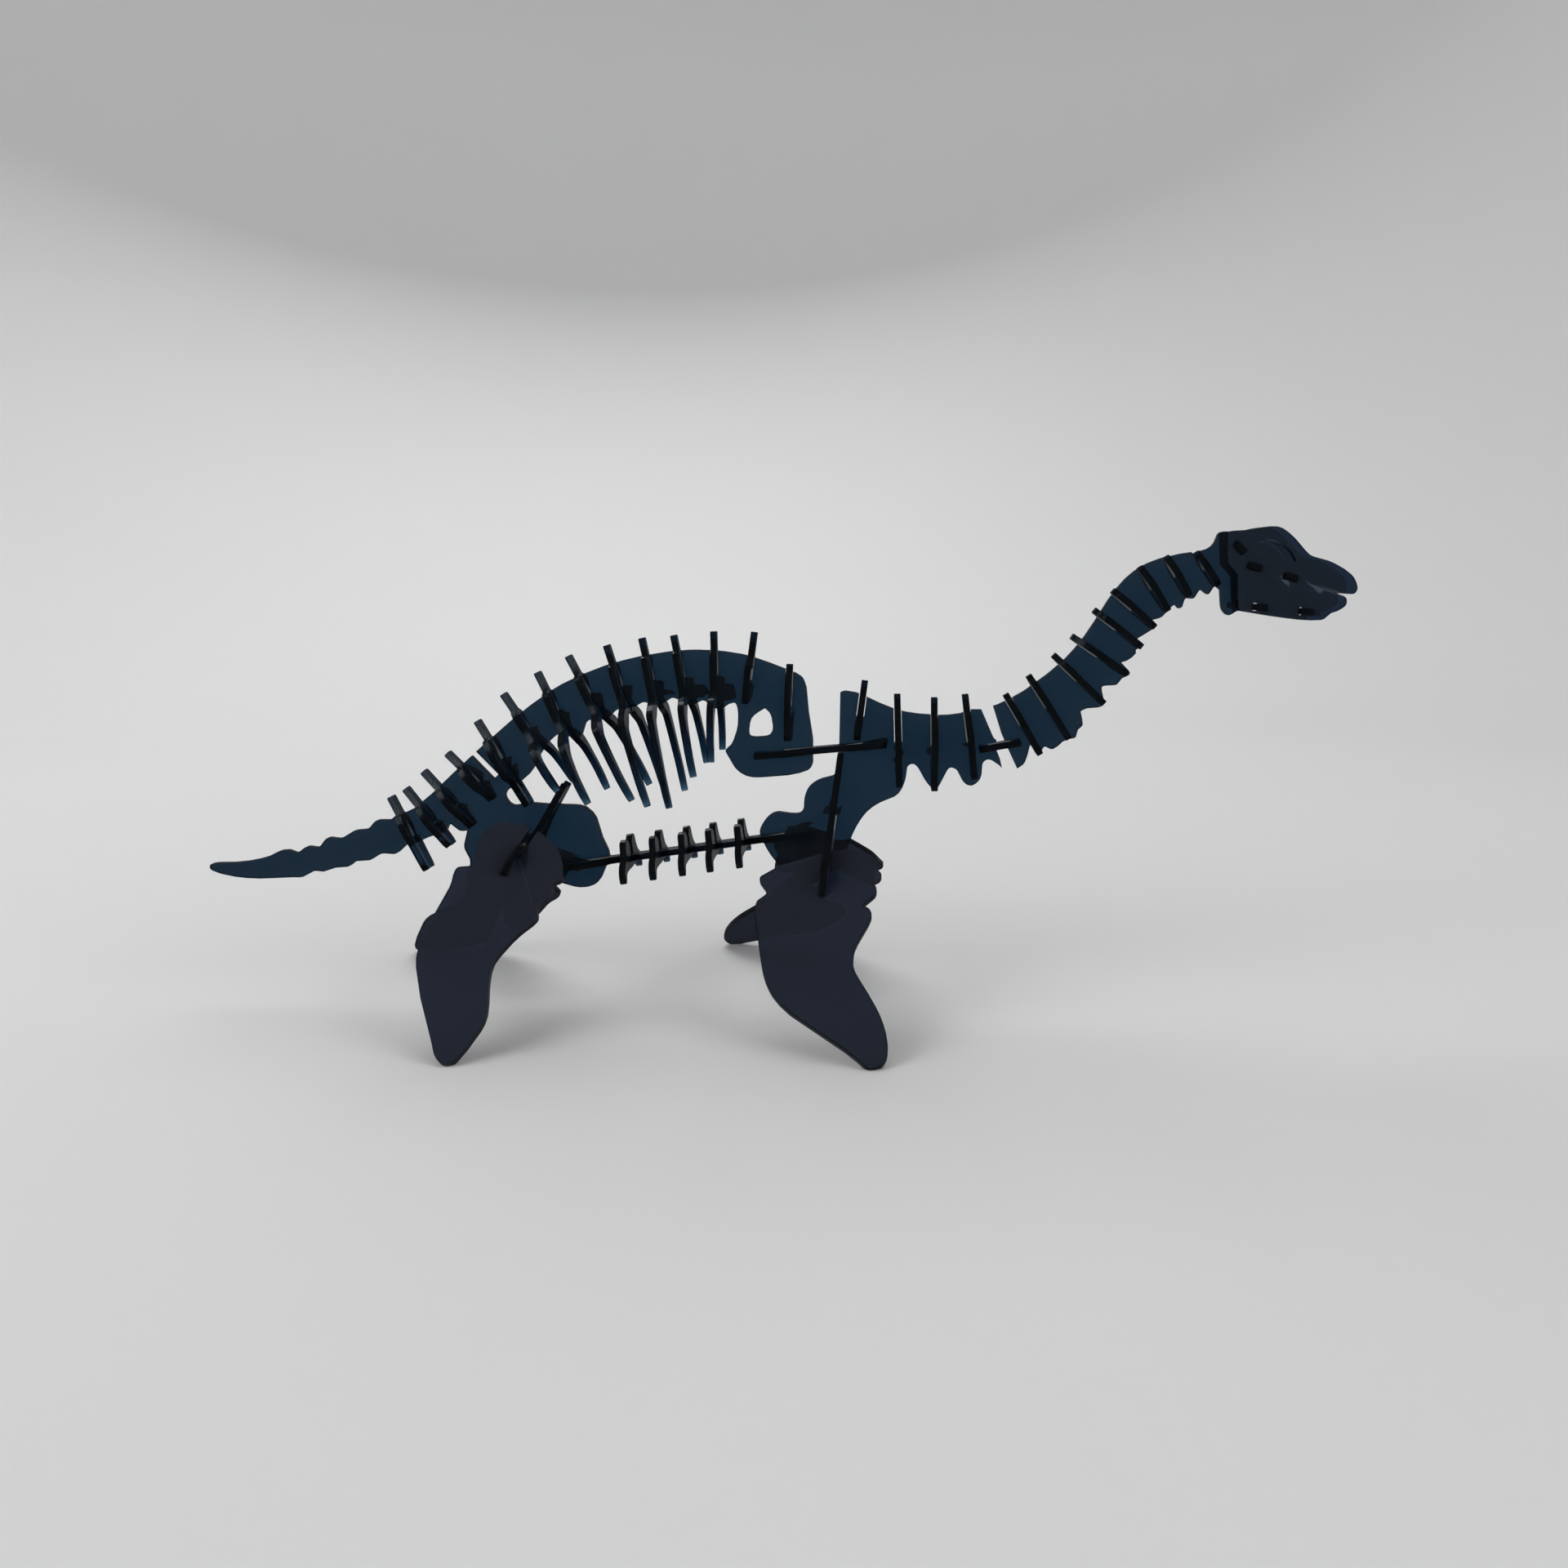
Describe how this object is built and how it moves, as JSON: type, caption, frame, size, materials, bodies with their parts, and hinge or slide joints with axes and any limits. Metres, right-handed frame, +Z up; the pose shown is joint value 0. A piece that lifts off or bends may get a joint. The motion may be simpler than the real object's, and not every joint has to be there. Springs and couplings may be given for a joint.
{
  "type": "slot-together plesiosaurus skeleton model",
  "caption": "Slot-together plesiosaurus skeleton in smoky clear plastic sheet: arched back, drooping ribs, long neck and splayed flippers whose tips it stands on",
  "frame": {"origin": "on the ground, under the middle of the model's bounding box", "axes": "+X points from the tail to the head, +Z up, +Y to the animal's left side; the upright plates lie in a plane square to Y"},
  "size_m": [0.5232, 0.1638, 0.2126],
  "materials": {
    "smoky_sheet": "clear sheet with a smoky slate blue tint, polished faces, pale cut edges",
    "flipper_sheet": "the same clear smoky sheet, a little greyer, polished faces, pale cut edges"
  },
  "bodies": {
    "root": {"trunk_plate": "smoky_sheet", "chest_plate": "smoky_sheet", "neck_plate": "smoky_sheet", "tail_plate_1": "smoky_sheet", "tail_plate_2": "smoky_sheet", "tail_plate_3": "smoky_sheet", "tail_plate_4": "smoky_sheet", "tail_plate_5": "smoky_sheet", "rib_plate_1": "smoky_sheet", "rib_plate_2": "smoky_sheet", "rib_plate_3": "smoky_sheet", "rib_plate_4": "smoky_sheet", "rib_plate_5": "smoky_sheet", "rib_plate_6": "smoky_sheet", "rib_plate_7": "smoky_sheet", "shoulder_plate_1": "smoky_sheet", "shoulder_plate_2": "smoky_sheet", "chest_plate_1": "smoky_sheet", "chest_plate_2": "smoky_sheet", "chest_plate_3": "smoky_sheet", "chest_plate_4": "smoky_sheet", "neck_plate_1": "smoky_sheet", "neck_plate_2": "smoky_sheet", "neck_plate_3": "smoky_sheet", "neck_plate_4": "smoky_sheet", "neck_plate_5": "smoky_sheet", "neck_plate_6": "smoky_sheet", "neck_plate_7": "smoky_sheet", "neck_plate_8": "smoky_sheet", "neck_plate_9": "smoky_sheet", "back_join": "smoky_sheet", "neck_join": "smoky_sheet", "belly_strip": "smoky_sheet", "belly_plate_1": "smoky_sheet", "belly_plate_2": "smoky_sheet", "belly_plate_3": "smoky_sheet", "belly_plate_4": "smoky_sheet", "belly_plate_5": "smoky_sheet", "front_girdle": "smoky_sheet", "rear_girdle": "smoky_sheet", "near_head_side": "smoky_sheet", "far_head_side": "smoky_sheet", "palate": "smoky_sheet", "jaw_floor": "smoky_sheet", "nape": "smoky_sheet", "near_front_flipper": "flipper_sheet", "far_front_flipper": "flipper_sheet", "near_rear_flipper": "flipper_sheet", "far_rear_flipper": "flipper_sheet"}
  },
  "joints": []
}
